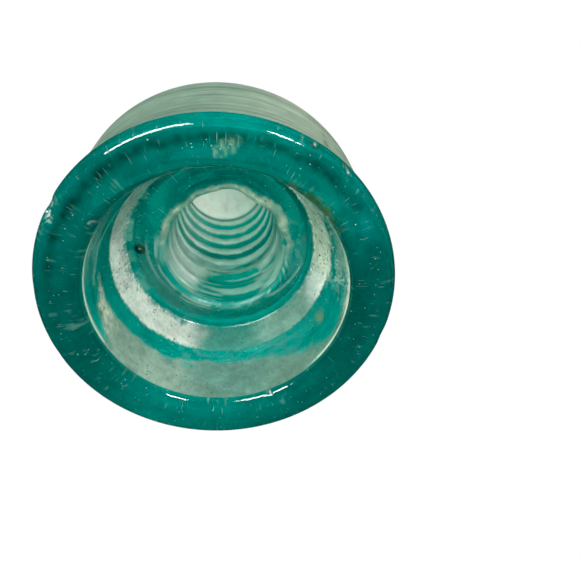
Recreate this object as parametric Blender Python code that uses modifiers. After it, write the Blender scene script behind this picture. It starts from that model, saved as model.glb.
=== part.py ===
"""Pin-type glass insulator: one pressing of soda-lime glass, standing on its rim.

Metres, +Z up. The origin is the centre of the rim's flat face, and +Z is the axis of the pin hole, towards the crown.
The glass is one solid: a domed crown, a wire groove, a skirt, a stepped hollow under the skirt, and a blind pin hole
with a rounded, tapering, right-hand thread of four turns to the inch. It screws onto a wooden or nylon-headed pin.
"""

import math

import bpy

MM = 0.001

# Overall
HEIGHT = 89.0
CROWN_R = 27.0
CROWN_BASE_Z = 61.5
CROWN_LIP_ROUND = 2.4

# Wire groove, between the crown and the skirt: its floor's radius, and the round of its section
GROOVE_Z = 52.6
GROOVE_R = 22.6
GROOVE_ARC = 5.6

# Skirt, outside
SHOULDER_Z = 35.0
SHOULDER_R = 37.05
SHOULDER_IN = 10.6
SHOULDER_UP = 12.2
RIM_R = 37.9
WAIST_R = 36.8
WAIST_Z = 13.0
RIM_ROUND_IN = 2.3
RIM_ROUND_UP = 3.4

# Rim: a flat ring that the glass stands on, then a round that lifts into the hollow
RIM_FLAT_INNER_R = 30.9
RIM_INNER_R = 28.0
RIM_INNER_Z = 2.3

# Skirt, inside: an upright wall, a step, a second wall, and the ledge round the pin hole
STEP_R = 26.9
STEP_Z = 12.6
SECOND_WALL_R = 25.4
SECOND_WALL_Z = 17.4
LEDGE_R = 22.9
LEDGE_Z = 25.4
LEDGE_ROUND = 1.4

# Pin hole
MOUTH_R = 16.6
MOUTH_Z = 23.6
MOUTH_ROUND = 1.2
MOUTH_FLARE = 1.6
MOUTH_FLARE_UP = 3.5
HOLE_R_AT_MOUTH = 13.9
HOLE_R_AT_END = 11.9
HOLE_END_Z = 70.8
DOME_Z = 75.6

# Thread: four turns to the inch, with a rounded root and crest. Its depth fades in at the mouth and out at the end.
PITCH = 25.4 / 4.0
THREAD_DEPTH = 1.25
THREAD_ROOT_Z = 27.3
THREAD_ROOT_DEG = 90.0
THREAD_FADE_IN = 1.6
THREAD_FADE_OUT = 3.0
ROWS_A_TURN = 6

STEPS = 52


def arc(cr, cz, radius_r, radius_z, from_deg, to_deg, count):
    """Points on an ellipse in the (r, z) half-plane, both ends included."""
    out = []
    for i in range(count + 1):
        a = math.radians(from_deg + (to_deg - from_deg) * i / count)
        out.append((cr + radius_r * math.cos(a), cz + radius_z * math.sin(a)))
    return out


def hole_radius(z):
    """Radius of the pin hole's plain wall, which narrows towards the crown and flares at the mouth."""
    share = (z - MOUTH_Z) / (HOLE_END_Z - MOUTH_Z)
    flare = MOUTH_FLARE * math.exp(-(z - MOUTH_Z) / MOUTH_FLARE_UP)
    return HOLE_R_AT_MOUTH + (HOLE_R_AT_END - HOLE_R_AT_MOUTH) * share + flare


def thread_height(z, angle):
    """How far the thread's root lies outside the plain wall at this height and angle."""
    fade = min((z - MOUTH_Z - 0.6) / THREAD_FADE_IN, (HOLE_END_Z - z) / THREAD_FADE_OUT, 1.0)
    if fade <= 0.0:
        return 0.0
    turns = (z - THREAD_ROOT_Z) / PITCH - (angle - math.radians(THREAD_ROOT_DEG)) / (2.0 * math.pi)
    return THREAD_DEPTH * fade * (0.5 + 0.5 * math.cos(2.0 * math.pi * turns))


def profile():
    """Half the section, from the crown's top down the outside, under the rim, and up the inside to the pin hole's end."""
    # Crown, with a small lip round that turns in to the groove
    points = [(0.0, HEIGHT)] + arc(0.0, CROWN_BASE_Z, CROWN_R, HEIGHT - CROWN_BASE_Z, 82.0, 0.0, 9)
    points += arc(CROWN_R - CROWN_LIP_ROUND, CROWN_BASE_Z - 1.8, CROWN_LIP_ROUND, CROWN_LIP_ROUND, 0.0, -50.0, 2)
    # Wire groove: it is hollow, so its round is centred outside the glass
    points += arc(GROOVE_R + GROOVE_ARC, GROOVE_Z, GROOVE_ARC, GROOVE_ARC, 132.0, 234.0, 6)
    # Shoulder and outer wall
    points += arc(SHOULDER_R - SHOULDER_IN, SHOULDER_Z, SHOULDER_IN, SHOULDER_UP, 82.0, 0.0, 7)
    points += [(WAIST_R + 0.1, 22.0), (WAIST_R, WAIST_Z), (RIM_R - 0.5, 6.2)]
    # Rim: outer round, flat ring and inner round
    points += arc(RIM_R - RIM_ROUND_IN, RIM_ROUND_UP, RIM_ROUND_IN, RIM_ROUND_UP, 0.0, -90.0, 5)
    points += arc(RIM_FLAT_INNER_R, RIM_INNER_Z, RIM_FLAT_INNER_R - RIM_INNER_R, RIM_INNER_Z, 270.0, 180.0, 4)
    # Hollow: wall, step, second wall, and the round into the ledge
    points += [(STEP_R, STEP_Z), (SECOND_WALL_R, SECOND_WALL_Z)]
    points += arc(LEDGE_R - LEDGE_ROUND, LEDGE_Z - LEDGE_ROUND, LEDGE_ROUND, LEDGE_ROUND, 18.0, 100.0, 3)
    # Mouth of the pin hole: the ledge dips to it, and a round turns up into the hole
    points += arc(MOUTH_R, MOUTH_Z + MOUTH_ROUND, MOUTH_ROUND, MOUTH_ROUND, -90.0, -170.0, 3)
    # Plain wall of the pin hole, with enough rows to carry the thread
    rows = int(math.ceil((HOLE_END_Z - MOUTH_Z - MOUTH_ROUND) * ROWS_A_TURN / PITCH))
    for i in range(1, rows + 1):
        z = MOUTH_Z + MOUTH_ROUND + (HOLE_END_Z - MOUTH_Z - MOUTH_ROUND) * i / rows
        points.append((hole_radius(z), z))
    # Closed, domed end
    points += arc(0.0, HOLE_END_Z, HOLE_R_AT_END, DOME_Z - HOLE_END_Z, 25.0, 75.0, 3)
    points += [(0.0, DOME_Z)]
    return points


def clear_scene():
    for obj in list(bpy.data.objects):
        bpy.data.objects.remove(obj, do_unlink=True)


def collection(name):
    made = bpy.data.collections.new(name)
    bpy.context.scene.collection.children.link(made)
    return made


def glass_material():
    material = bpy.data.materials.new("aqua_glass")
    material.use_nodes = True
    shader = material.node_tree.nodes["Principled BSDF"]
    shader.inputs["Base Color"].default_value = (0.10, 0.55, 0.48, 1.0)
    shader.inputs["Roughness"].default_value = 0.05
    shader.inputs["Metallic"].default_value = 0.0
    shader.inputs["Transmission Weight"].default_value = 0.9
    shader.inputs["IOR"].default_value = 1.52
    return material


def turned(name, points, into):
    """The half section as a wire in the XZ plane, turned about Z by a Screw modifier."""
    mesh = bpy.data.meshes.new(name + "_section")
    mesh.from_pydata([(r * MM, 0.0, z * MM) for r, z in points], [(i, i + 1) for i in range(len(points) - 1)], [])
    obj = bpy.data.objects.new(name, mesh)
    into.objects.link(obj)
    screw = obj.modifiers.new("turn", "SCREW")
    screw.axis = "Z"
    screw.angle = 2.0 * math.pi
    screw.steps = STEPS
    screw.render_steps = STEPS
    screw.use_merge_vertices = True
    screw.merge_threshold = 0.00001
    return obj


def apply_modifiers(obj):
    """Replace the object's mesh with its evaluated one, so that its points can be moved."""
    bpy.context.view_layer.update()
    graph = bpy.context.evaluated_depsgraph_get()
    mesh = bpy.data.meshes.new_from_object(obj.evaluated_get(graph))
    section = obj.data
    obj.modifiers.clear()
    obj.data = mesh
    mesh.name = obj.name
    bpy.data.meshes.remove(section)


def press_thread(obj):
    """Move the pin hole's wall outwards along the thread's helix, as the screw core leaves it."""
    for vertex in obj.data.vertices:
        r = math.hypot(vertex.co.x, vertex.co.y) / MM
        z = vertex.co.z / MM
        if r > HOLE_R_AT_MOUTH + 0.5 or not MOUTH_Z + 0.6 < z < HOLE_END_Z:
            continue
        if abs(r - hole_radius(z)) > 0.4:
            continue
        grown = (r + thread_height(z, math.atan2(vertex.co.y, vertex.co.x))) / r
        vertex.co.x *= grown
        vertex.co.y *= grown


def main():
    clear_scene()
    parts = collection("glass_insulator")

    body = turned("glass_body", profile(), parts)
    apply_modifiers(body)
    press_thread(body)
    body.data.materials.append(glass_material())
    body.data.shade_smooth()
    body.data.set_sharp_from_angle(angle=math.radians(38.0))


main()
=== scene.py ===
"""Looks for the glass pin insulator: a fine glass body over the CAD frame, its flaws, and a plain studio."""

import math

import bpy
import numpy as np
from mathutils import Matrix, Vector


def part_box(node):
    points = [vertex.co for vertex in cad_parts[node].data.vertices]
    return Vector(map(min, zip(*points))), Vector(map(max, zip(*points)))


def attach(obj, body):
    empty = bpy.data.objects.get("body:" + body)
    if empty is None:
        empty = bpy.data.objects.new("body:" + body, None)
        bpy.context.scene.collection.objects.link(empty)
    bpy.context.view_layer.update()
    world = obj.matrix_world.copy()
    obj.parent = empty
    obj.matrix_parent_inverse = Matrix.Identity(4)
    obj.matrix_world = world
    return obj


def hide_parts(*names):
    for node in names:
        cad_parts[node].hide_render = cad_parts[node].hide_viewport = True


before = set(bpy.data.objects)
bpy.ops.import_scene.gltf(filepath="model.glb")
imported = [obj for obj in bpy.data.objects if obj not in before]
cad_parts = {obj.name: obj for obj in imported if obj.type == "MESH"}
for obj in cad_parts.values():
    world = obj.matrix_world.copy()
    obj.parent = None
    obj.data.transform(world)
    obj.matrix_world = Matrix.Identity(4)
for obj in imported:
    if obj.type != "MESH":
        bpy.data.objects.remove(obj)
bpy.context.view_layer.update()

CAD_LOW, CAD_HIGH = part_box("glass_body")
MM = 0.001
HEIGHT = (CAD_HIGH.z - CAD_LOW.z) / MM if hasattr(CAD_HIGH, "z") else (CAD_HIGH[2] - CAD_LOW[2]) / MM

# ---------------------------------------------------------------------------------------------------------------------
# Camera: the photograph looks up into the skirt from 60 degrees below the horizon
# ---------------------------------------------------------------------------------------------------------------------
scene = bpy.context.scene
cam_data = bpy.data.cameras.new("photo_camera")
cam_data.sensor_width = 36.0
cam_data.lens = 36.0
cam_data.clip_start = 0.001
cam_data.clip_end = 20.0
camera = bpy.data.objects.new("photo_camera", cam_data)
scene.collection.objects.link(camera)
right = Vector((0.99559, -0.04672, -0.08131)).normalized()
back = Vector((-0.09378, -0.49600, -0.86325)).normalized()
up = back.cross(right).normalized()
right = up.cross(back).normalized()
place = Matrix((right, up, back)).transposed().to_4x4()
place.translation = Vector((0.003407, -0.062640, -0.104596))
camera.matrix_world = place
scene.camera = camera

# ---------------------------------------------------------------------------------------------------------------------
# Section of the glass, in millimetres, from the crown's top down the outside and up the inside
# ---------------------------------------------------------------------------------------------------------------------
CROWN_R, CROWN_BASE_Z, CROWN_LIP_ROUND = 27.0, 61.5, 2.4
GROOVE_Z, GROOVE_R, GROOVE_ARC = 52.6, 22.6, 5.6
SHOULDER_Z, SHOULDER_R, SHOULDER_IN, SHOULDER_UP = 35.0, 37.05, 10.6, 12.2
WAIST_R, WAIST_Z = 36.8, 13.0
RIM_R, RIM_ROUND_IN, RIM_ROUND_UP = 37.88, 2.3, 3.4
RIM_FLAT_INNER_R, RIM_INNER_R, RIM_INNER_Z = 30.9, 28.0, 2.3
STEP_R, STEP_Z, SECOND_WALL_R, SECOND_WALL_Z = 26.9, 12.6, 25.4, 17.4
LEDGE_R, LEDGE_Z = 22.9, 25.4
MOUTH_R, MOUTH_Z, MOUTH_ROUND, MOUTH_FLARE, MOUTH_FLARE_UP = 16.6, 23.6, 0.7, 1.6, 3.5
HOLE_R_AT_MOUTH, HOLE_R_AT_END, HOLE_END_Z, DOME_Z = 13.9, 11.9, 70.8, 75.6
PITCH, THREAD_DEPTH, THREAD_ROOT_Z, THREAD_ROOT_DEG = 6.35, 1.25, 27.3, 90.0
STEPS = 480
SPACING = 0.4


def ellipse(cr, cz, rr, rz, a0, a1):
    """Points on an ellipse in the (r, z) half-plane at about SPACING."""
    count = max(4, int(abs(math.radians(a1 - a0)) * max(rr, rz) / SPACING))
    count = max(count, 8)
    return [
        (cr + rr * math.cos(math.radians(a0 + (a1 - a0) * i / count)), cz + rz * math.sin(math.radians(a0 + (a1 - a0) * i / count)))
        for i in range(count + 1)
    ]


def rounded(points):
    """A polyline whose corners (r, z, radius) are rounded with that radius."""
    out = [points[0][:2]]
    for before, corner, after in zip(points, points[1:], points[2:]):
        p = np.array(corner[:2])
        a = np.array(before[:2]) - p
        b = np.array(after[:2]) - p
        la, lb = np.linalg.norm(a), np.linalg.norm(b)
        a, b = a / la, b / lb
        radius = corner[2]
        angle = math.acos(max(-1.0, min(1.0, float(a @ b))))
        if radius <= 0.0 or angle > math.pi - 0.01:
            out.append(tuple(p))
            continue
        cut = min(radius / math.tan(angle / 2.0), 0.48 * la, 0.48 * lb)
        radius = cut * math.tan(angle / 2.0)
        middle = (a + b) / np.linalg.norm(a + b)
        centre = p + middle * (radius / math.sin(angle / 2.0))
        start, end = p + a * cut - centre, p + b * cut - centre
        a0, a1 = math.atan2(start[1], start[0]), math.atan2(end[1], end[0])
        turn = (a1 - a0 + math.pi) % (2.0 * math.pi) - math.pi
        count = max(3, int(abs(turn) * radius / (SPACING * 0.5)))
        for i in range(count + 1):
            t = a0 + turn * i / count
            out.append((centre[0] + radius * math.cos(t), centre[1] + radius * math.sin(t)))
    out.append(points[-1][:2])
    return out


def spread(points, spacing):
    """The same polyline with extra points, so that none are further apart than spacing."""
    out = [points[0]]
    for (r0, z0), (r1, z1) in zip(points, points[1:]):
        count = max(1, int(math.ceil(math.hypot(r1 - r0, z1 - z0) / spacing)))
        out += [(r0 + (r1 - r0) * i / count, z0 + (z1 - z0) * i / count) for i in range(1, count + 1)]
    return out


def hole_radius(z):
    flare = MOUTH_FLARE * math.exp(-(z - MOUTH_Z) / MOUTH_FLARE_UP)
    return HOLE_R_AT_MOUTH + flare + (HOLE_R_AT_END - HOLE_R_AT_MOUTH) * (z - MOUTH_Z) / (HOLE_END_Z - MOUTH_Z)


def section():
    """(points, part of the glass each point belongs to)"""
    runs = []
    runs.append(("crown", [(0.0, HEIGHT)] + ellipse(0.0, CROWN_BASE_Z, CROWN_R, HEIGHT - CROWN_BASE_Z, 89.0, 0.0)))
    runs.append(("groove", ellipse(CROWN_R - CROWN_LIP_ROUND, CROWN_BASE_Z - 1.8, CROWN_LIP_ROUND, CROWN_LIP_ROUND, 0.0, -50.0)
                 + ellipse(GROOVE_R + GROOVE_ARC, GROOVE_Z, GROOVE_ARC, GROOVE_ARC, 132.0, 234.0)))
    runs.append(("skirt", ellipse(SHOULDER_R - SHOULDER_IN, SHOULDER_Z, SHOULDER_IN, SHOULDER_UP, 82.0, 0.0)
                 + rounded([(SHOULDER_R, SHOULDER_Z - 0.5, 0), (WAIST_R + 0.1, 22.0, 60.0), (WAIST_R, WAIST_Z, 40.0), (RIM_R - 0.5, 6.2, 12.0), (RIM_R, RIM_ROUND_UP + 0.2, 0)])))
    runs.append(("rim", ellipse(RIM_R - RIM_ROUND_IN, RIM_ROUND_UP, RIM_ROUND_IN, RIM_ROUND_UP, 0.0, -90.0)
                 + ellipse(RIM_FLAT_INNER_R, RIM_INNER_Z, RIM_FLAT_INNER_R - RIM_INNER_R, RIM_INNER_Z, 270.0, 184.0)))
    runs.append(("hollow", rounded([(RIM_INNER_R + 0.02, RIM_INNER_Z, 0), (STEP_R, STEP_Z, 3.0), (SECOND_WALL_R, SECOND_WALL_Z, 3.0), (LEDGE_R + 0.1, LEDGE_Z - 0.6, 1.2), (LEDGE_R - 1.6, LEDGE_Z, 1.0),
                                    (MOUTH_R - 0.6, MOUTH_Z, MOUTH_ROUND), (hole_radius(MOUTH_Z + 1.0), MOUTH_Z + 1.0, 0)])))
    start = MOUTH_Z + 1.0
    rows = int((HOLE_END_Z - start) / SPACING)
    runs.append(("hole", [(hole_radius(start + (HOLE_END_Z - start) * i / rows), start + (HOLE_END_Z - start) * i / rows) for i in range(1, rows + 1)]
                 + ellipse(0.0, HOLE_END_Z, HOLE_R_AT_END, DOME_Z - HOLE_END_Z, 8.0, 88.0) + [(0.0, DOME_Z)]))
    points, parts = [], []
    for name, run in runs:
        run = spread(run, SPACING)
        for p in run:
            if points and math.hypot(p[0] - points[-1][0], p[1] - points[-1][1]) < 0.02:
                continue
            points.append(p)
            parts.append(name)
    return np.array(points), np.array(parts)


# ---------------------------------------------------------------------------------------------------------------------
# Surface of the pressing: finish, tint and haze at each point of the fine mesh
# ---------------------------------------------------------------------------------------------------------------------
FINISH = {"crown": 0.42, "groove": 0.45, "skirt": 0.40, "rim": 0.05, "hollow": 0.16, "hole": 0.14}


def paint(red, green, blue):
    """A display colour as linear light."""
    return np.array([((c / 255.0 + 0.055) / 1.055) ** 2.4 if c > 10 else c / 255.0 / 12.92 for c in (red, green, blue)])


PALE, MILKY, GREY = paint(206, 222, 207), paint(228, 234, 224), paint(146, 186, 170)
TEAL, DEEP, DARK = paint(0, 158, 148), paint(0, 112, 105), paint(0, 70, 64)
RUST, STRAW = paint(120, 112, 62), paint(196, 198, 160)


def smooth(low, high, x):
    t = np.clip((x - low) / (high - low), 0.0, 1.0)
    return t * t * (3.0 - 2.0 * t)


def around(turn, middle):
    """Distance in turns from the angle called middle, between -0.5 and 0.5."""
    return (turn - middle + 0.5) % 1.0 - 0.5


def noise(turn, height, cells, per_mm, seed):
    """Smooth value noise between 0 and 1, with cells steps round the axis and per_mm steps along it."""
    table = np.random.default_rng(seed).random((cells, 512))
    u, v = (turn % 1.0) * cells, height * per_mm + 7.0
    i, j = np.floor(u).astype(int), np.floor(v).astype(int)
    fu, fv = u - i, v - j
    fu, fv = fu * fu * (3.0 - 2.0 * fu), fv * fv * (3.0 - 2.0 * fv)
    i0, i1, j0, j1 = i % cells, (i + 1) % cells, j % 512, (j + 1) % 512
    return (table[i0, j0] * (1 - fu) + table[i1, j0] * fu) * (1 - fv) + (table[i0, j1] * (1 - fu) + table[i1, j1] * fu) * fv


def cloud(turn, height, cells, per_mm, seed):
    total = 0.0
    for octave, weight in enumerate((0.5, 0.28, 0.22)):
        total = total + weight * noise(turn, height, cells * 2 ** octave, per_mm * 2 ** octave, seed + octave)
    return total


def mix(a, b, t):
    t = np.asarray(t)[..., None]
    return a * (1.0 - t) + b * t


def surface(part, rr, zz, turn, thread, wind):
    """(tint, haze, roughness) of each point: what settled on the glass, where it is worn, and light and shade painted
    on the rim, the hollow's walls, the pin hole and the skirt.
    """
    shape = rr.shape
    tint = np.empty(shape + (3,))
    tint[:] = PALE
    haze = np.full(shape, 0.45)
    rough = np.array([FINISH[name] for name in part])[:, None] * np.ones(shape)
    is_ = {name: (part == name)[:, None] & np.ones(shape, bool) for name in FINISH}
    wander = cloud(turn, zz, 40, 0.35, 3) - 0.5
    fine = cloud(turn, zz, 160, 1.0, 11) - 0.5
    grain = noise(turn, zz, 700, 3.0, 17) - 0.5

    # Rim: clear and deep, so mostly its own colour, with a darker band on its upper side and painted light and shade
    # over it
    lobes = cloud(turn, rr, 12, 0.10, 21)
    rim_tint = mix(DEEP, TEAL, np.clip(0.22 + 1.1 * (lobes - 0.45), 0.0, 1.0))
    band = np.exp(-((rr - 34.4 - 0.8 * wander) / 1.1) ** 2) * smooth(0.30, 0.10, np.abs(around(turn, 0.05))) * (0.5 + noise(turn, rr, 220, 0.6, 23))
    rim_tint = mix(rim_tint, DARK, np.clip(0.85 * band, 0, 1))
    # Painted shade: the rim darker along its inner edge, most on its upper side
    rim_tint = mix(rim_tint, DARK, 0.7 * smooth(29.2, 28.3, rr) * (0.25 + 0.75 * smooth(0.26, 0.12, np.abs(around(turn, 0.0)))))
    # Painted light: a lighter teal stretch by the inner edge at the bottom
    rim_tint = mix(rim_tint, TEAL, 0.55 * np.exp(-((rr - 30.6) / 1.6) ** 2) * smooth(0.22, 0.06, np.abs(around(turn, 0.52))))
    # Painted light and shade: light makes stretches of the rim lighter or darker by their place round the axis
    light = 0.92 - 0.42 * np.exp(-(around(turn, 0.27) / 0.11) ** 2) - 0.50 * np.exp(-(around(turn, 0.67) / 0.11) ** 2) + 0.45 * np.exp(-(around(turn, 0.0) / 0.07) ** 2) - 0.20 * np.exp(-(around(turn, 0.80) / 0.06) ** 2) - 0.10 * np.exp(-(around(turn, 0.89) / 0.03) ** 2)
    rim_tint = rim_tint * np.clip(light - 0.18 * np.exp(-(around(turn, 0.10) / 0.04) ** 2), 0.3, 1.6)[..., None]
    # Painted glow: a lighter teal patch on the rim's right side
    rim_tint = mix(rim_tint, paint(8, 150, 146), 0.8 * np.exp(-(around(turn, 0.835) / 0.016) ** 2 - ((rr - 34.2) / 1.7) ** 2))
    radial = smooth(0.74, 0.94, noise(turn, rr, 900, 0.35, 27)) * smooth(0.45, 0.75, cloud(turn, rr, 30, 0.3, 29))
    rim_tint = mix(rim_tint, GREY, 0.42 * radial)
    tint = np.where(is_["rim"][..., None], rim_tint, tint)
    haze = np.where(is_["rim"], 0.26, haze)

    # Hollow: hazy walls, a clear step and a clear ledge
    limit = 12.3 + 1.9 * np.exp(-(around(turn, 0.51) / 0.07) ** 2) + 2.2 * wander
    wall_one = smooth(limit + 0.8, limit - 0.4, zz + 0.8 * fine + 0.6 * grain)
    left = smooth(0.320, 0.285, turn + 0.05 * wander + 0.007 * (zz - 6)) * smooth(2.6, 3.6, zz + 1.5 * wander + 0.6 * fine)
    right_ = smooth(0.650, 0.685, turn - 0.05 * wander + 0.010 * (zz - 4.0)) * smooth(3.4, 5.2, zz + 1.5 * wander + 0.6 * fine)
    wall_one = wall_one * (1.0 - left) * (1.0 - right_ * smooth(0.86, 0.82, turn))
    wall_two = smooth(17.0, 17.8, zz + 0.6 * wander + 0.5 * grain) * smooth(22.6, 23.4, rr + 1.2 * wander + 0.6 * grain)
    middle = np.exp(-(around(turn, 0.507) / 0.055) ** 2)
    far_right = smooth(0.70, 0.75, turn) * smooth(0.92, 0.84, turn)
    pitted = smooth(0.44, 0.62, 0.5 * cloud(turn, zz, 110, 0.6, 37) + 0.5 * noise(turn, zz, 420, 2.4, 39))
    outer = smooth(17.0, 15.0, zz + 2.0 * wander)
    pale = wall_one + wall_two + far_right * (1.0 - outer * smooth(0.855, 0.82, turn)) * (rr > 22.9 + 0.8 * wander)
    pale = np.clip(pale + 0.60 * pitted * outer * far_right * (zz > 2.3), 0.0, 1.0)
    band = smooth(9.0, 11.0, zz) * (rr > 22.9) * smooth(0.42, 0.46, turn) * smooth(0.66, 0.60, turn)
    pale = np.maximum(pale, 0.30 * band * smooth(0.36, 0.62, cloud(turn, zz, 90, 1.2, 65)))
    # Thin pale lines along the rim's inner edge
    pale_edge_lines = np.exp(-((zz - 2.75) / 0.26) ** 2) * (smooth(0.15, 0.17, turn) * smooth(0.345, 0.31, turn) + smooth(0.62, 0.66, turn) * smooth(0.79, 0.76, turn)) * smooth(0.10, 0.45, noise(turn, zz, 60, 0.3, 43))
    # Painted light and shade on the hazy walls: lighter on the left, darker in the middle and on the right, darker low
    # down, milky high on the right
    lower = smooth(15.5, 13.5, zz)
    west = mix(paint(212, 213, 203), paint(112, 136, 122), np.clip(0.9 * lower + 0.5 * smooth(0.24, 0.18, turn), 0, 1))
    centre = mix(paint(62, 120, 108), paint(88, 122, 112), lower)
    east = mix(paint(110, 142, 128), paint(92, 122, 108), lower)
    east = mix(east, MILKY, 0.95 * smooth(0.655, 0.71, turn) * (1.0 - lower))
    pale_tint = mix(west, centre, smooth(0.425, 0.485, turn + 0.04 * wander))
    pale_tint = mix(pale_tint, east, smooth(0.53, 0.60, turn + 0.04 * wander))
    pale_tint = mix(pale_tint, paint(226, 230, 204), 0.85 * far_right)
    pale_tint = mix(pale_tint, paint(60, 146, 138), 0.75 * np.exp(-(around(turn, 0.437) / 0.030) ** 2 - ((zz - 11.8) / 1.5) ** 2) * smooth(0.30, 0.60, cloud(turn, zz, 60, 0.5, 97)))
    pale_tint = pale_tint * (1.0 + 0.5 * wander + 0.35 * fine + 0.30 * grain)[..., None]
    straw = smooth(0.240, 0.265, turn) * smooth(0.345, 0.30, turn) * smooth(4.0, 6.0, zz) * smooth(13.0, 10.5, zz)
    pale_tint = mix(pale_tint, paint(204, 205, 182) * (0.6 + 0.7 * noise(turn, zz, 300, 1.2, 59))[..., None], 0.65 * straw)
    dots = smooth(0.76, 0.86, noise(turn, zz, 520, 1.8, 61)) * (0.25 + 0.75 * np.clip(far_right + smooth(0.36, 0.30, turn) * smooth(0.22, 0.26, turn), 0, 1))
    pale_tint = mix(pale_tint, paint(70, 112, 84), 0.8 * dots)
    clear_tint = mix(TEAL, DEEP, np.clip(0.15 + 1.2 * wander + 0.8 * smooth(0.33, 0.26, turn) * (rr > 22.9), 0, 1))
    # Painted shade: darker teal in the corner where the second wall meets the ledge, paler in patches on the left
    corner = np.exp(-((rr - 22.4 - 0.5 * wander) / 1.1) ** 2)
    clear_tint = mix(clear_tint, paint(0, 96, 89), 0.85 * corner)
    clear_tint = mix(clear_tint, paint(104, 168, 148), 0.55 * corner * smooth(0.45, 0.65, cloud(turn, rr, 70, 0.5, 63)) * smooth(0.46, 0.36, turn))
    hollow_tint = mix(clear_tint, pale_tint, pale)
    # A trace of the pale tint would let red through, so it only comes in where the haze does
    hollow_tint[..., 0] = hollow_tint[..., 0] * np.maximum(smooth(0.0, 0.35, pale), corner)
    thread_line = np.exp(-((zz - (10.0 + 88.0 * (0.238 - turn))) / 0.30) ** 2) * smooth(0.125, 0.145, turn) * smooth(0.262, 0.240, turn) * (rr > 22.9)
    hollow_tint = mix(hollow_tint, PALE, 0.55 * thread_line)
    hollow_tint = mix(hollow_tint, paint(214, 228, 208), 0.9 * np.clip(pale_edge_lines, 0, 1))
    hollow_haze = 0.24 + 0.38 * pale + 0.14 * far_right * pale + 0.14 * far_right * wall_two + 0.12 * straw * pale - 0.06 * (rr < 22.6) + 0.2 * thread_line + 0.4 * pale_edge_lines
    streak = smooth(0.62, 0.80, cloud(turn + 0.014 * (rr - 16.0), rr, 90, 0.5, 41)) * smooth(22.0, 17.0, rr) * smooth(23.0, 22.2, rr) * smooth(0.30, 0.18, np.abs(around(turn, 0.58)))
    sweep = np.exp(-((rr - (17.3 + 27.0 * (turn - 0.63))) / 0.33) ** 2) * smooth(0.60, 0.63, turn) * smooth(0.725, 0.705, turn)
    streak = np.clip(streak * smooth(0.44, 0.52, turn) + 1.5 * sweep, 0, 1)
    lip = smooth(16.9, 16.3, rr + 0.7 * fine + 0.8 * wander - 0.9 * np.exp(-(around(turn, 0.865) / 0.06) ** 2))
    upper = smooth(0.20, 0.30, np.abs(around(turn, 0.5)))
    white = np.clip(0.55 * streak + lip * upper * (0.55 + 0.45 * smooth(0.40, 0.60, cloud(turn, zz, 60, 0.4, 51))), 0.0, 1.0) * (rr < 22.6)
    rough = np.where(is_["hollow"] & (rr < 17.6), 0.30 + 0.16 * upper * smooth(17.6, 16.4, rr), rough)
    worn = mix(PALE, STRAW, 0.6 * upper) * (0.62 + 0.90 * noise(turn, rr + zz, 75, 2.2, 53))[..., None]
    hollow_tint = mix(hollow_tint, worn, 0.90 * white)
    arcs = np.exp(-((rr - 16.75 - 0.55 * np.sin(11.0 * turn)) / 0.26) ** 2) + 0.7 * np.exp(-((rr - 17.5 + 9.0 * around(turn, 0.40)) / 0.26) ** 2)
    arcs = arcs * np.maximum(smooth(0.15, 0.10, np.abs(around(turn, 0.345))), 0.25 * smooth(0.24, 0.18, np.abs(around(turn, 0.50)))) * smooth(0.25, 0.60, noise(turn, rr, 40, 0.6, 55)) * (rr < 19.0) * (rr > 15.4)
    hollow_tint = mix(hollow_tint, PALE, 0.75 * np.clip(arcs, 0, 1))
    hollow_haze = hollow_haze + 0.34 * white + 0.25 * np.clip(arcs, 0, 1) + 0.24 * corner * (1.0 - pale)
    tint = np.where(is_["hollow"][..., None], hollow_tint, tint)
    haze = np.where(is_["hollow"], hollow_haze, haze)

    # Pin hole: hazy thread flanks and clear roots, the haze laid on one flank of each thread as painted light; a clear
    # patch by the mouth, painted light on the hole's left side, painted shade on its near side, and a milky blind end
    # Painted light: haze laid on one flank of each thread, so the flanks read pale and the roots teal
    flank = smooth(-0.90, -0.50, thread + 0.35 * wander)
    deep_in = smooth(38.0, 48.0, zz + 6.0 * wander)
    patch = smooth(0.125, 0.065, np.abs(around(turn, 0.508 + 0.0012 * (zz - 26.0))) + 0.05 * wander) * smooth(41.0, 35.0, zz + 7.0 * wander)
    patch = np.clip(patch, 0.0, 1.0)
    # Painted light: the hole lighter on its left side
    hole_painted_light = np.exp(-(around(turn, 0.35) / 0.10) ** 2) * smooth(25.5, 30.0, zz) * (1.0 - patch)
    hole_pale = np.clip(flank * (0.25 + 0.75 * deep_in) + 0.60 * (1.0 - deep_in), 0.0, 1.0)
    hole_pale = np.clip(hole_pale * (1.0 - patch) + 0.35 * hole_painted_light * (0.4 + 0.6 * flank), 0.0, 1.0)
    # Painted shade: the hole darker on its near side
    near_side_painted_shade = smooth(0.30, 0.18, np.abs(around(turn, 0.0)))
    hole_pale = hole_pale * (1.0 - 0.85 * near_side_painted_shade)
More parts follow.
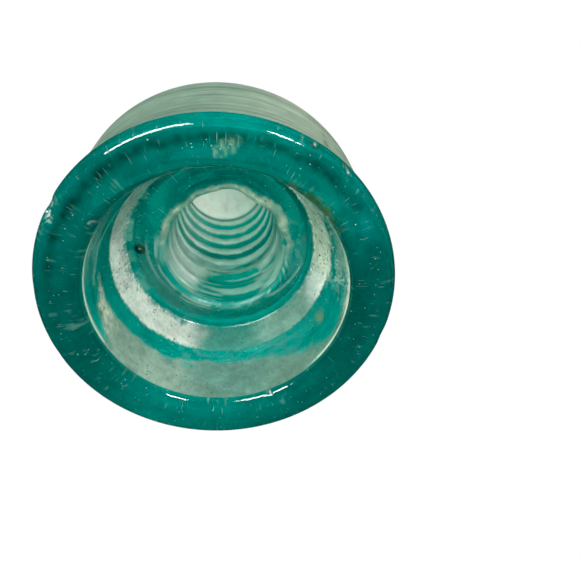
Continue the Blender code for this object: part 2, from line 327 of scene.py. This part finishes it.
    # Drag lines left by the plunger follow the thread and are closest near the mouth
    drag = smooth(0.52, 0.66, noise(turn, wind, 7, 1.5, 45)) * (1.0 - deep_in) * (0.45 + 0.55 * noise(turn, wind, 30, 0.4, 47))
    hole_pale = np.clip(hole_pale + 0.55 * drag * patch - 0.60 * drag * (1.0 - patch) * (1.0 - 0.6 * hole_painted_light), 0.0, 1.0)
    hole_tint = mix(paint(0, 132, 122), mix(paint(182, 222, 206), MILKY, np.clip(0.25 + 0.75 * hole_painted_light + 0.5 * wander, 0, 1)), hole_pale)
    hole_tint[..., 0] = hole_tint[..., 0] * smooth(0.0, 0.30, hole_pale)
    hole_haze = 0.18 + 0.46 * hole_pale + 0.42 * hole_painted_light * hole_pale
    rough = np.where(is_["hole"], 0.30, rough)
    end = smooth(HOLE_END_Z - 0.2, HOLE_END_Z + 1.2, zz)
    hole_tint = mix(hole_tint, paint(0, 132, 122), 0.9 * smooth(HOLE_END_Z - 1.7, HOLE_END_Z - 1.2, zz) * (1.0 - end))
    hole_tint = mix(hole_tint, paint(248, 238, 230) * (0.98 + 0.4 * cloud(turn, zz, 18, 0.5, 57))[..., None], end)
    hole_haze = hole_haze * (1.0 - end) + 0.88 * end
    tint = np.where(is_["hole"][..., None], hole_tint, tint)
    haze = np.where(is_["hole"], hole_haze, haze)

    # Outside: weathered, with grime in fine rings
    rings = 0.6 * noise(turn, zz, 7, 1.7, 31) + 0.4 * noise(turn, zz, 11, 3.1, 32) - 0.5
    outside = is_["skirt"] | is_["groove"] | is_["crown"]
    rings = rings + 0.45 * (noise(turn, zz, 5, 5.5, 33) - 0.5)
    out_tint = mix(paint(190, 212, 192), paint(120, 142, 126), np.clip(0.45 + (0.9 + 0.9 * is_["skirt"]) * rings + 0.3 * fine + 0.35 * wander, 0, 1))
    # Painted light: one side of the skirt lighter and warmer
    skirt_painted_light = np.exp(-(around(turn, 0.915) / 0.06) ** 2)
    out_tint = out_tint * (1.0 + skirt_painted_light[..., None] * np.array([0.62, 0.36, 0.36]))
    out_haze = np.where(is_["skirt"], 0.30, 0.16) + 0.20 * rings + 0.12 * fine
    tint = np.where(outside[..., None], out_tint, tint)
    haze = np.where(outside, out_haze, haze)
    return tint, np.clip(haze, 0.0, 0.95), np.clip(rough, 0.02, 1.0)


def damage(part, r0, rr, zz, turn, tint, haze):
    """Chips, an open blister with painted shade and light in it, and a painted reflection on the rim: moves the surface
    into the glass and marks what shows there.
    """
    z0 = zz.copy()

    def near(at_turn, at_r, at_z, along, across):
        """1 at a place on the surface, falling off over along mm round the axis and across mm in the section"""
        arc = around(turn, at_turn) * 2.0 * math.pi * max(at_r, 1.0) / along
        return np.exp(-(arc ** 2 + ((r0 - at_r) / across) ** 2 + ((z0 - at_z) / across) ** 2))

    rough_edge = noise(turn, z0 + r0, 420, 1.2, 71)
    # The pressed mouth is ragged, and broken back on the side of the rim's seam
    lip = np.where((part == "hollow")[:, None], smooth(19.0, 16.4, r0) * (r0 < 22.6), 0.0) + (part == "hole")[:, None] * smooth(31.0, 24.4, z0)
    ragged = cloud(turn, z0 * 0.2, 26, 0.2, 73) - 0.5
    facet = math.cos(math.pi / 10.0) / np.cos((((turn + 0.03) * 10.0) % 1.0 - 0.5) * 2.0 * math.pi / 10.0) - 1.0
    rr = rr + lip * (13.0 * facet * smooth(0.16, 0.30, np.abs(around(turn, 0.5))) + 0.75 * np.exp(-(around(turn, 0.995) / 0.045) ** 2) + 0.8 * ragged * smooth(0.16, 0.34, np.abs(around(turn, 0.5))) + 0.35 * ragged)
    # Chips on the rim's outer corner and inner edge: (turn, r, z, along, across, depth)
    for at_turn, at_r, at_z, along, across, depth in (
        (0.1620, 37.7, 2.0, 1.5, 1.5, 1.25), (0.1690, 36.9, 1.0, 1.2, 1.3, 0.8), (0.1535, 29.2, 0.9, 1.1, 0.9, 0.7), (0.8860, 37.5, 1.5, 1.0, 1.0, 0.5),
        (0.9200, 37.6, 1.8, 0.8, 0.9, 0.6), (0.7090, 37.6, 1.8, 1.6, 0.9, 0.35), (0.3100, 37.7, 2.0, 1.4, 0.8, 0.30), (0.8600, 28.4, 1.6, 2.2, 0.7, 0.35),
        (0.9020, 28.6, 1.3, 2.6, 0.7, 0.35), (0.2450, 37.8, 2.6, 2.4, 1.0, 0.22), (0.0320, 28.5, 1.5, 1.2, 0.6, 0.3), (0.5650, 28.5, 1.5, 0.9, 0.6, 0.3),
    ):
        amount = depth * near(at_turn, at_r, at_z, along, across) * (0.55 + 0.9 * rough_edge)
        outward = 1.0 if at_r > 33.0 else -1.0
        rr = rr - outward * 0.75 * amount
        zz = zz + 0.65 * amount
        fresh = np.clip(amount / depth * 1.3 - 0.35, 0.0, 1.0) * smooth(0.45, 0.8, rough_edge)
        tint[:] = mix(tint, MILKY, 0.75 * fresh)
        haze[:] = haze + 0.35 * fresh
    # Grime where the hollow's edge is broken
    grime = sum(near(t, 28.7, 1.3, 2.4, 1.5) for t in (0.852, 0.868, 0.884, 0.900, 0.914)) * smooth(0.25, 0.65, noise(turn, z0 + r0, 200, 0.8, 77))
    grime = np.clip(1.3 * grime, 0.0, 1.0)
    tint[:] = mix(tint, mix(paint(26, 78, 34), paint(96, 98, 54), 0.6 * noise(turn, r0, 260, 1.0, 87)), 0.92 * grime)
    haze[:] = haze + 0.45 * grime
    mark = near(0.9200, 37.5, 1.6, 1.3, 0.9) + 0.8 * near(0.8868, 37.8, 4.0, 0.7, 1.6)
    crack = np.exp(-(around(turn, 0.9007 - 0.00038 * (z0 - 4.0)) / 0.0022) ** 2) * smooth(3.5, 6.0, z0) * smooth(25.5, 23.0, z0) * (part == "skirt")[:, None] * smooth(0.25, 0.5, noise(turn, z0, 60, 0.5, 85))
    tint[:] = mix(tint, paint(34, 66, 44), np.clip(0.9 * mark + 0.75 * crack, 0.0, 0.9))
    split = np.exp(-(around(turn, 0.5319) / 0.0018) ** 2) * smooth(2.0, 3.0, z0) * smooth(9.0, 7.0, z0) * (part == "hollow")[:, None]
    tint[:] = mix(tint, paint(70, 112, 92), 0.7 * split)
    tint[:] = mix(tint, paint(84, 88, 56), np.clip(0.9 * near(0.2951, 27.4, 7.6, 1.0, 0.9), 0, 0.8))
    spot = near(0.6736, 26.8, 12.9, 0.9, 1.3)
    tint[:] = mix(tint, paint(150, 160, 92), np.clip(1.2 * spot, 0.0, 0.85))
    # A pale patch at the top of the rim by its seam, a painted reflection
    rim_top_painted_reflection = smooth(0.30, 0.75, sum(near(t, q, 0.2, 1.5, 1.4) for t, q in ((0.9985, 31.6), (0.9930, 32.4), (0.9880, 33.0), (0.9840, 33.6))) * (0.5 + rough_edge))
    rim_top_painted_reflection = rim_top_painted_reflection * (0.25 + 0.75 * smooth(0.35, 0.75, noise(turn, r0, 500, 2.0, 79)))
    tint[:] = mix(tint, paint(150, 186, 150), 0.45 * rim_top_painted_reflection)
    haze[:] = haze + 0.10 * rim_top_painted_reflection
    # The open blister on the ledge: painted shade darkens the pit and painted light brightens its floor
    blister = near(0.2528, 20.2, 25.0, 1.2, 1.1)
    tint[:] = mix(tint, paint(2, 18, 8), np.clip(2.4 * blister, 0.0, 0.98))
    tint[:] = mix(tint, paint(150, 180, 130), np.clip(near(0.2528, 20.2, 25.0, 0.24, 0.24) * 0.9, 0.0, 0.8))
    haze[:] = haze + 0.65 * np.clip(2.0 * blister, 0.0, 1.0)
    zz = zz + 0.30 * blister
    haze[:] = np.clip(haze, 0.0, 0.97)
    # The mould left the hollow a little uneven
    uneven = 0.10 * (cloud(turn, z0, 26, 0.22, 81) - 0.5) + 0.05 * (cloud(turn, z0, 90, 0.6, 83) - 0.5)
    rr = rr + uneven * np.where(((part == "hollow")[:, None]), smooth(2.3, 4.0, z0), 0.0)
    return rr, zz


def glass_mesh():
    points, parts = section()
    r, z = points[1:-1, 0], points[1:-1, 1]
    part = parts[1:-1]
    rows = len(r)
    angle = np.arange(STEPS) * (2.0 * math.pi / STEPS)
    rr = np.repeat(r[:, None], STEPS, 1)
    zz = np.repeat(z[:, None], STEPS, 1)
    aa = np.repeat(angle[None, :], rows, 0)
    turn = ((-90.0 - np.degrees(aa)) / 360.0) % 1.0

    # Thread in the pin hole: rounded crests and narrower roots
    hole = (part == "hole")[:, None] & (rr > 11.0)
    fade = np.clip(np.minimum((zz - MOUTH_Z - 0.6) / 1.6, (HOLE_END_Z - zz) / 3.0), 0.0, 1.0)
    turns = (zz - THREAD_ROOT_Z) / PITCH - (aa - math.radians(THREAD_ROOT_DEG)) / (2.0 * math.pi)
    wave = 0.5 + 0.5 * np.cos(2.0 * math.pi * turns)
    rr = rr + hole * THREAD_DEPTH * fade * wave ** 1.3
    flank = np.cos(2.0 * math.pi * (turns + 0.32))

    r0 = np.repeat(r[:, None], STEPS, 1)
    tint, haze, rough = surface(part, r0, zz, turn, flank, turns * PITCH)
    rr, zz = damage(part, r0, rr, zz, turn, tint, haze)

    x, y = rr * np.cos(aa), rr * np.sin(aa)
    # The plunger stood a little to one side, so the mouth is off the axis
    drift = np.where(((part == "hollow")[:, None]) & (r0 < LEDGE_R), smooth(LEDGE_R, MOUTH_R + 1.0, r0), 0.0) + (part == "hole")[:, None] * smooth(HOLE_END_Z, MOUTH_Z, zz)
    x, y = x + 0.9 * drift, y + 0.15 * drift
    vertices = np.concatenate([np.array([[0.0, 0.0, points[0, 1]]]), np.stack([x, y, zz], 2).reshape(-1, 3), np.array([[0.0, 0.0, points[-1, 1]]])]) * MM
    i = np.arange(rows - 1)[:, None] * STEPS + 1
    j = np.arange(STEPS)[None, :]
    k = (j + 1) % STEPS
    quads = np.stack([i + j, i + STEPS + j, i + STEPS + k, i + k], 2).reshape(-1, 4)
    top = np.stack([np.zeros(STEPS, int), 1 + j[0], 1 + k[0]], 1)
    last = 1 + (rows - 1) * STEPS
    bottom = np.stack([np.full(STEPS, len(vertices) - 1), last + k[0], last + j[0]], 1)
    mesh = bpy.data.meshes.new("insulator_glass")
    loops = np.concatenate([top.ravel(), quads.ravel(), bottom.ravel()]).astype(np.int32)
    totals = np.concatenate([np.full(STEPS, 3), np.full(len(quads), 4), np.full(STEPS, 3)])
    starts = np.concatenate([[0], np.cumsum(totals)[:-1]]).astype(np.int32)
    mesh.vertices.add(len(vertices))
    mesh.vertices.foreach_set("co", vertices.astype(np.float32).ravel())
    mesh.loops.add(len(loops))
    mesh.loops.foreach_set("vertex_index", loops)
    mesh.polygons.add(len(totals))
    mesh.polygons.foreach_set("loop_start", starts)
    mesh.update(calc_edges=True)
    mesh.validate()
    mesh.shade_smooth()
    for name, grid in (("finish_roughness", rough), ("clarity", 1.0 - haze)):
        flat = np.concatenate([grid[0, :1], grid.ravel(), grid[-1, :1]])
        mesh.attributes.new(name, "FLOAT", "POINT").data.foreach_set("value", flat.astype(np.float32))
    # Unrolled map: turns across, and length along the section up, both between 0 and 1
    length = np.concatenate([[0.0], np.cumsum(np.hypot(np.diff(points[:, 0]), np.diff(points[:, 1])))])
    length /= length[-1]
    lu = np.arange(STEPS) / STEPS
    lv = length[1:-1]
    top_uv = np.stack([np.stack([lu + 0.5 / STEPS, lu, lu + 1.0 / STEPS], 1), np.repeat([[0.0, lv[0], lv[0]]], STEPS, 0)], 2)
    uu = np.repeat(lu[None, :], rows - 1, 0)
    v0, v1 = np.repeat(lv[:-1, None], STEPS, 1), np.repeat(lv[1:, None], STEPS, 1)
    quad_uv = np.stack([np.stack([uu, uu, uu + 1.0 / STEPS, uu + 1.0 / STEPS], 2), np.stack([v0, v1, v1, v0], 2)], 3)
    low_uv = np.stack([np.stack([lu + 0.5 / STEPS, lu + 1.0 / STEPS, lu], 1), np.repeat([[1.0, lv[-1], lv[-1]]], STEPS, 0)], 2)
    uv = np.concatenate([top_uv.reshape(-1, 2), quad_uv.reshape(-1, 2), low_uv.reshape(-1, 2)])
    layer = mesh.uv_layers.new(name="unrolled")
    layer.uv.foreach_set("vector", uv.astype(np.float32).ravel())
    marks = {"crown": 0.35, "groove": 0.35, "skirt": 0.35, "rim": 1.0, "hollow": 0.7, "hole": 0.12}
    speck = np.repeat(np.array([marks[name] for name in part])[:, None], STEPS, 1)
    speck = speck + 0.9 * ((part == "hollow")[:, None] & (r0 < 22.5) & (r0 > 17.0)) * smooth(0.30, 0.15, np.abs(around(turn, 0.06)))
    flat = np.concatenate([speck[0, :1], speck.ravel(), speck[-1, :1]])
    mesh.attributes.new("specks", "FLOAT", "POINT").data.foreach_set("value", flat.astype(np.float32))
    colour = np.concatenate([tint[0, :1], tint.reshape(-1, 3), tint[-1, :1]])
    colour = np.concatenate([colour, np.ones((len(colour), 1))], 1)
    mesh.color_attributes.new("tint", "FLOAT_COLOR", "POINT").data.foreach_set("color", colour.astype(np.float32).ravel())
    return mesh


# ---------------------------------------------------------------------------------------------------------------------
# Materials
# ---------------------------------------------------------------------------------------------------------------------
ABSORB_COLOR = (0.059, 0.776, 0.790, 1.0)
ABSORB_DENSITY = 26.0


def glass_material():
    mat = bpy.data.materials.new("aqua_pressed_glass")
    mat.use_nodes = True
    nodes, links = mat.node_tree.nodes, mat.node_tree.links
    shader = nodes["Principled BSDF"]
    shader.inputs["IOR"].default_value = 1.52

    def attribute(name, output):
        node = nodes.new("ShaderNodeAttribute")
        node.attribute_name = name
        return node.outputs[output]

    def maths(operation, a, b, clamp=False):
        node = nodes.new("ShaderNodeMath")
        node.operation = operation
        node.use_clamp = clamp
        for socket, value in zip(node.inputs, (a, b)):
            if isinstance(value, (int, float)):
                socket.default_value = value
            else:
                links.new(value, socket)
        return node.outputs["Value"]

    def window(value, low, high):
        node = nodes.new("ShaderNodeMapRange")
        node.interpolation_type = "SMOOTHSTEP"
        node.inputs["From Min"].default_value = low
        node.inputs["From Max"].default_value = high
        links.new(value, node.inputs["Value"])
        return node.outputs["Result"]

    place = nodes.new("ShaderNodeTexCoord").outputs["Object"]
    unrolled = nodes.new("ShaderNodeUVMap")
    unrolled.uv_map = "unrolled"

    def stretched(across, along):
        node = nodes.new("ShaderNodeMapping")
        node.inputs["Scale"].default_value = (across, along, 1.0)
        links.new(unrolled.outputs["UV"], node.inputs["Vector"])
        return node.outputs["Vector"]

    def texture(vector, scale, detail=2.0, rough=0.5):
        node = nodes.new("ShaderNodeTexNoise")
        node.inputs["Scale"].default_value = scale
        node.inputs["Detail"].default_value = detail
        node.inputs["Roughness"].default_value = rough
        links.new(vector, node.inputs["Vector"])
        return node.outputs["Fac"]

    def seeds(scale, size, share):
        """Small round marks in a share of the cells"""
        node = nodes.new("ShaderNodeTexVoronoi")
        node.inputs["Scale"].default_value = scale
        links.new(place, node.inputs["Vector"])
        pick = nodes.new("ShaderNodeSeparateColor")
        links.new(node.outputs["Color"], pick.inputs["Color"])
        chosen = window(pick.outputs["Red"], 1.0 - share, 1.0 - share + 0.02)
        near = window(node.outputs["Distance"], size, size * 0.55)
        return maths("MULTIPLY", chosen, near)

    # Pale marks: seed bubbles open to the surface, dust, and hairline scratches that run out across the rim
    marks = maths("MULTIPLY", maths("ADD", seeds(1150.0, 0.15, 0.30), seeds(330.0, 0.060, 0.11), clamp=True), 0.60)
    scratch = window(texture(stretched(820.0, 60.0), 1.0, 1.0), 0.66, 0.76)
    hair = window(texture(stretched(70.0, 260.0), 1.0, 2.0), 0.72, 0.80)
    faint = maths("MULTIPLY", maths("MAXIMUM", scratch, maths("MULTIPLY", hair, 0.5)), 0.26)
    pale = maths("MULTIPLY", maths("MAXIMUM", marks, faint), maths("MULTIPLY", attribute("specks", "Fac"), window(attribute("clarity", "Fac"), 0.35, 0.72)), clamp=True)
    # Dark marks: pits that hold dirt, where the surface is matt
    held = maths("MULTIPLY", window(attribute("clarity", "Fac"), 0.80, 0.45), window(attribute("specks", "Fac"), 0.08, 0.34))
    dirt = maths("MULTIPLY", maths("ADD", seeds(950.0, 0.25, 0.20), seeds(420.0, 0.17, 0.13), clamp=True), held, clamp=True)
    clouds = texture(place, 260.0, 4.0, 0.6)

    def blend(fac, a, colour):
        node = nodes.new("ShaderNodeMix")
        node.data_type = "RGBA"
        links.new(fac, node.inputs["Factor"])
        links.new(a, node.inputs["A"])
        node.inputs["B"].default_value = (*colour, 1.0)
        return node.outputs["Result"]

    tone = nodes.new("ShaderNodeMix")
    tone.data_type = "RGBA"
    tone.blend_type = "MULTIPLY"
    tone.inputs["Factor"].default_value = 1.0
    links.new(attribute("tint", "Color"), tone.inputs["A"])
    level = nodes.new("ShaderNodeMapRange")
    level.inputs["From Min"].default_value = 0.25
    level.inputs["From Max"].default_value = 0.75
    level.inputs["To Min"].default_value = 0.80
    level.inputs["To Max"].default_value = 1.18
    links.new(clouds, level.inputs["Value"])
    grey = nodes.new("ShaderNodeCombineColor")
    for name in ("Red", "Green", "Blue"):
        links.new(level.outputs["Result"], grey.inputs[name])
    links.new(grey.outputs["Color"], tone.inputs["B"])
    colour = blend(pale, tone.outputs["Result"], tuple(MILKY))
    colour = blend(dirt, colour, tuple(paint(34, 70, 52)))
    links.new(colour, shader.inputs["Base Color"])

    # Marks scatter light, so the glass is less clear and more matt where they are
    clear = maths("SUBTRACT", attribute("clarity", "Fac"), maths("MULTIPLY", maths("MAXIMUM", pale, dirt), 0.55), clamp=True)
    links.new(clear, shader.inputs["Transmission Weight"])
    matt = maths("ADD", attribute("finish_roughness", "Fac"), maths("MULTIPLY", maths("ADD", pale, maths("MULTIPLY", clouds, 0.12)), 0.30), clamp=True)
    links.new(matt, shader.inputs["Roughness"])

    # Fire polish over fine ripples: shallow bump
    bump = nodes.new("ShaderNodeBump")
    bump.inputs["Strength"].default_value = 0.35
    bump.inputs["Distance"].default_value = 0.0003
    height = maths("ADD", maths("MULTIPLY", texture(place, 900.0, 3.0), 0.4), maths("ADD", maths("MULTIPLY", texture(place, 220.0, 2.0), 0.9), maths("MULTIPLY", marks, -0.8)))
    links.new(height, bump.inputs["Height"])
    links.new(bump.outputs["Normal"], shader.inputs["Normal"])

    absorb = nodes.new("ShaderNodeVolumeAbsorption")
    absorb.inputs["Color"].default_value = ABSORB_COLOR
    absorb.inputs["Density"].default_value = ABSORB_DENSITY
    links.new(absorb.outputs["Volume"], nodes["Material Output"].inputs["Volume"])
    return mat


def floor_material():
    mat = bpy.data.materials.new("studio_floor")
    mat.use_nodes = True
    nodes, links = mat.node_tree.nodes, mat.node_tree.links
    shader = nodes["Principled BSDF"]
    shader.inputs["Base Color"].default_value = (0.86, 0.86, 0.85, 1.0)
    shader.inputs["Roughness"].default_value = 0.9
    geometry = nodes.new("ShaderNodeNewGeometry")
    clear = nodes.new("ShaderNodeBsdfTransparent")
    mix_shader = nodes.new("ShaderNodeMixShader")
    links.new(geometry.outputs["Backfacing"], mix_shader.inputs["Fac"])
    links.new(shader.outputs["BSDF"], mix_shader.inputs[1])
    links.new(clear.outputs["BSDF"], mix_shader.inputs[2])
    links.new(mix_shader.outputs["Shader"], nodes["Material Output"].inputs["Surface"])
    return mat


# ---------------------------------------------------------------------------------------------------------------------
# Pieces
# ---------------------------------------------------------------------------------------------------------------------
glass = bpy.data.objects.new("insulator_glass", glass_mesh())
scene.collection.objects.link(glass)
glass.data.materials.append(glass_material())
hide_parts("glass_body")
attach(glass, "root")

# ---------------------------------------------------------------------------------------------------------------------
# Studio: a pale floor that is solid from above and clear from below, a pale world, and soft lights
# ---------------------------------------------------------------------------------------------------------------------
floor_mesh = bpy.data.meshes.new("studio_floor")
floor_mesh.from_pydata([(-1.5, -1.5, 0.0), (1.5, -1.5, 0.0), (1.5, 1.5, 0.0), (-1.5, 1.5, 0.0)], [], [(0, 1, 2, 3)])
floor = bpy.data.objects.new("studio_floor", floor_mesh)
scene.collection.objects.link(floor)
floor_mesh.materials.append(floor_material())
floor.location.z = -0.0002
floor.visible_shadow = False
floor.visible_glossy = False
floor.visible_transmission = False

world = bpy.data.worlds.new("studio_world")
scene.world = world
world.use_nodes = True
wn, wl = world.node_tree.nodes, world.node_tree.links
coords = wn.new("ShaderNodeTexCoord")
dot = wn.new("ShaderNodeVectorMath")
dot.operation = "DOT_PRODUCT"
toward = Vector((0.094, 0.496, 0.863)).normalized()
dot.inputs[1].default_value = toward
ramp = wn.new("ShaderNodeValToRGB")
ramp.color_ramp.interpolation = "EASE"
ramp.color_ramp.elements[0].position = 0.30
ramp.color_ramp.elements[0].color = (0.035, 0.035, 0.032, 1.0)
ramp.color_ramp.elements[1].position = 0.70
ramp.color_ramp.elements[1].color = (1.15, 1.06, 0.92, 1.0)
shift = wn.new("ShaderNodeMapRange")
shift.inputs["From Min"].default_value = -1.0
shift.inputs["From Max"].default_value = 1.0
wl.new(coords.outputs["Generated"], dot.inputs[0])
wl.new(dot.outputs["Value"], shift.inputs["Value"])
wl.new(shift.outputs["Result"], ramp.inputs["Fac"])
seen = wn.new("ShaderNodeLightPath")
paper = wn.new("ShaderNodeMix")
paper.data_type = "RGBA"
paper.inputs["B"].default_value = (1.0, 1.0, 1.0, 1.0)
wl.new(seen.outputs["Is Camera Ray"], paper.inputs["Factor"])
# A plain gloss reflection meets the dark side of the studio, so that only the softboxes make highlights
gloss = wn.new("ShaderNodeMath")
gloss.operation = "SUBTRACT"
gloss.use_clamp = True
wl.new(seen.outputs["Is Reflection Ray"], gloss.inputs[0])
wl.new(seen.outputs["Is Diffuse Ray"], gloss.inputs[1])
room = wn.new("ShaderNodeMix")
room.data_type = "RGBA"
room.inputs["B"].default_value = (0.015, 0.02, 0.02, 1.0)
wl.new(gloss.outputs["Value"], room.inputs["Factor"])
wl.new(ramp.outputs["Color"], room.inputs["A"])
wl.new(room.outputs["Result"], paper.inputs["A"])
wl.new(paper.outputs["Result"], wn["Background"].inputs["Color"])
wn["Background"].inputs["Strength"].default_value = 1.0


def softbox(name, location, target, size, power):
    data = bpy.data.lights.new(name, "AREA")
    data.shape = "RECTANGLE"
    data.size, data.size_y = size
    data.energy = power
    light = bpy.data.objects.new(name, data)
    light.location = location
    light.rotation_mode = "QUATERNION"
    light.rotation_quaternion = (Vector(target) - Vector(location)).to_track_quat("-Z", "Y")
    scene.collection.objects.link(light)
    return light


softbox("key_softbox", (-0.5, -0.75, -0.45), (0, 0, 0.03), (0.62, 0.26), 14.0)
softbox("fill_softbox", (0.42, -0.72, -0.55), (0, 0, 0.03), (0.20, 0.16), 5.0)
# Broad wash from below and from the side, too soft to make highlights of its own
for name, location, power in (("wash_softbox", (0.16, -0.34, -1.0), 9.0), ("side_softbox", (0.95, -0.25, -0.45), 6.5), ("west_softbox", (-0.62, -0.25, -0.95), 4.5)):
    wash = softbox(name, location, (0, 0, 0.03), (0.5, 0.5), power)
    wash.visible_glossy = False
    wash.visible_transmission = False

scene.view_settings.view_transform = "Standard"
scene.view_settings.use_curve_mapping = True
scene.view_settings.curve_mapping.black_level = (0.010, 0.0, 0.0)
scene.view_settings.curve_mapping.update()
scene.cycles.max_bounces = 32
scene.cycles.glossy_bounces = 32
scene.cycles.transmission_bounces = 32
scene.cycles.transparent_max_bounces = 16
scene.cycles.caustics_reflective = True
scene.cycles.caustics_refractive = True
scene.cycles.blur_glossy = 0.0

bpy.context.view_layer.update()
